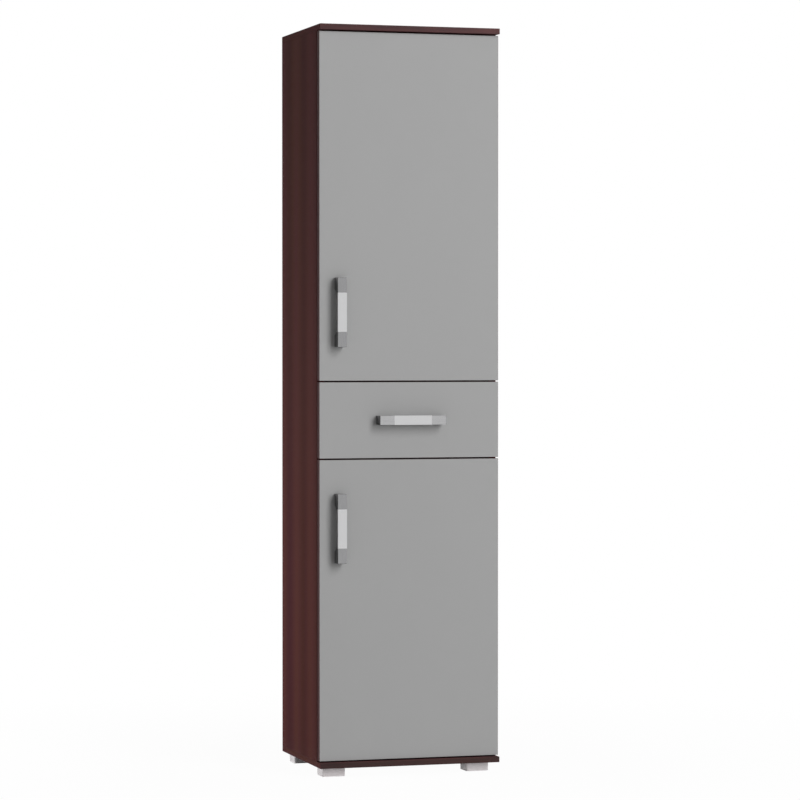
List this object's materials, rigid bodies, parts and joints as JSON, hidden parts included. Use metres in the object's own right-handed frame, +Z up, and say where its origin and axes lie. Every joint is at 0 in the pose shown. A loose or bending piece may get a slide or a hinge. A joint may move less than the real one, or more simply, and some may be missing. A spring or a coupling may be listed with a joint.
{
  "type": "tall cabinet",
  "caption": "Tall narrow free-standing bathroom cabinet with an upper and a lower hinged door, a drawer between them, bow handles, shelves inside and low square feet.",
  "frame": {"origin": "on the floor, below the middle of the cabinet's box, handles included", "axes": "+X to the right seen from the front, +Y to the back, +Z up; the fronts face -Y"},
  "size_m": [0.4, 0.341, 1.6],
  "materials": {
    "carcass_decor": "dark streaked melamine",
    "front_decor": "plain grey melamine, matt",
    "back_board": "thin fibreboard",
    "drawer_board": "white melamine",
    "dowel_wood": "bare beech",
    "handle_metal": "satin plated casting",
    "grip_aluminium": "brushed",
    "hinge_steel": "nickel plated",
    "zinc_fasteners": "zinc plated",
    "runner_paint": "powder coated",
    "roller_plastic": "moulded",
    "bumper_plastic": "soft moulded",
    "foot_plastic": "moulded"
  },
  "bodies": {
    "cabinet": {"left_side": "carcass_decor", "right_side": "carcass_decor", "top_board": "carcass_decor", "bottom_board": "carcass_decor", "upper_fixed_shelf": "carcass_decor", "lower_fixed_shelf": "carcass_decor", "upper_shelf_high": "carcass_decor", "upper_shelf_low": "carcass_decor", "lower_shelf": "carcass_decor", "back_panel": "back_board", "front_left_foot": "foot_plastic", "front_right_foot": "foot_plastic", "rear_left_foot": "foot_plastic", "rear_right_foot": "foot_plastic", "shelf_pins": "zinc_fasteners", "foot_screws": "zinc_fasteners", "assembly_screws": "zinc_fasteners", "cam_locks": "zinc_fasteners", "cam_bolts": "zinc_fasteners", "back_nails": "zinc_fasteners", "hinge_plate_screws": "zinc_fasteners", "hinge_adjusters": "zinc_fasteners", "channel_screws": "zinc_fasteners", "dowels": "dowel_wood", "hinge_plates": "hinge_steel", "hinge_arms": "hinge_steel", "left_channel": "runner_paint", "right_channel": "runner_paint"},
    "upper_door": {"upper_door_panel": "front_decor", "upper_hinge_cups": "hinge_steel", "upper_cup_screws": "zinc_fasteners", "upper_hinge_pins": "hinge_steel", "upper_handle": "handle_metal", "upper_handle_grip": "grip_aluminium", "upper_handle_screws": "zinc_fasteners", "upper_bumpers": "bumper_plastic"},
    "lower_door": {"lower_door_panel": "front_decor", "lower_hinge_cups": "hinge_steel", "lower_cup_screws": "zinc_fasteners", "lower_hinge_pins": "hinge_steel", "lower_handle": "handle_metal", "lower_handle_grip": "grip_aluminium", "lower_handle_screws": "zinc_fasteners", "lower_bumpers": "bumper_plastic"},
    "drawer": {"drawer_front": "front_decor", "drawer_inner_front": "drawer_board", "drawer_left_side": "drawer_board", "drawer_right_side": "drawer_board", "drawer_back": "drawer_board", "drawer_bottom": "drawer_board", "drawer_left_rail": "runner_paint", "drawer_right_rail": "runner_paint", "drawer_screws": "zinc_fasteners", "drawer_front_screws": "zinc_fasteners", "rail_screws": "zinc_fasteners", "drawer_handle": "handle_metal", "drawer_handle_grip": "grip_aluminium", "drawer_handle_screws": "zinc_fasteners"},
    "cabinet_rollers": {"cabinet_rollers": "roller_plastic"},
    "drawer_rollers": {"drawer_rollers": "roller_plastic"}
  },
  "joints": [
    {"name": "upper_door_swing", "type": "hinge", "parent": "cabinet", "child": "upper_door", "pos_m": [0.19321, -0.1335, 1.21475], "axis": [0, 0, 1], "range_deg": [0, 100]},
    {"name": "lower_door_swing", "type": "hinge", "parent": "cabinet", "child": "lower_door", "pos_m": [0.19321, -0.1335, 0.3565], "axis": [0, 0, 1], "range_deg": [0, 100]},
    {"name": "drawer_slide", "type": "slide", "parent": "cabinet", "child": "drawer", "axis": [0, -1, 0], "range_m": [0, 0.19]},
    {"name": "cabinet_roller_spin", "type": "hinge", "parent": "cabinet", "child": "cabinet_rollers", "pos_m": [0, -0.1085, 0.7032], "axis": [1, 0, 0], "continuous": true},
    {"name": "drawer_roller_spin", "type": "hinge", "parent": "drawer", "child": "drawer_rollers", "pos_m": [0, 0.1115, 0.7032], "axis": [1, 0, 0], "continuous": true}
  ],
  "couplings": [
    {"joint": "cabinet_roller_spin", "follows": "drawer_slide", "rad_per_m": 100},
    {"joint": "drawer_roller_spin", "follows": "drawer_slide", "rad_per_m": 100}
  ]
}
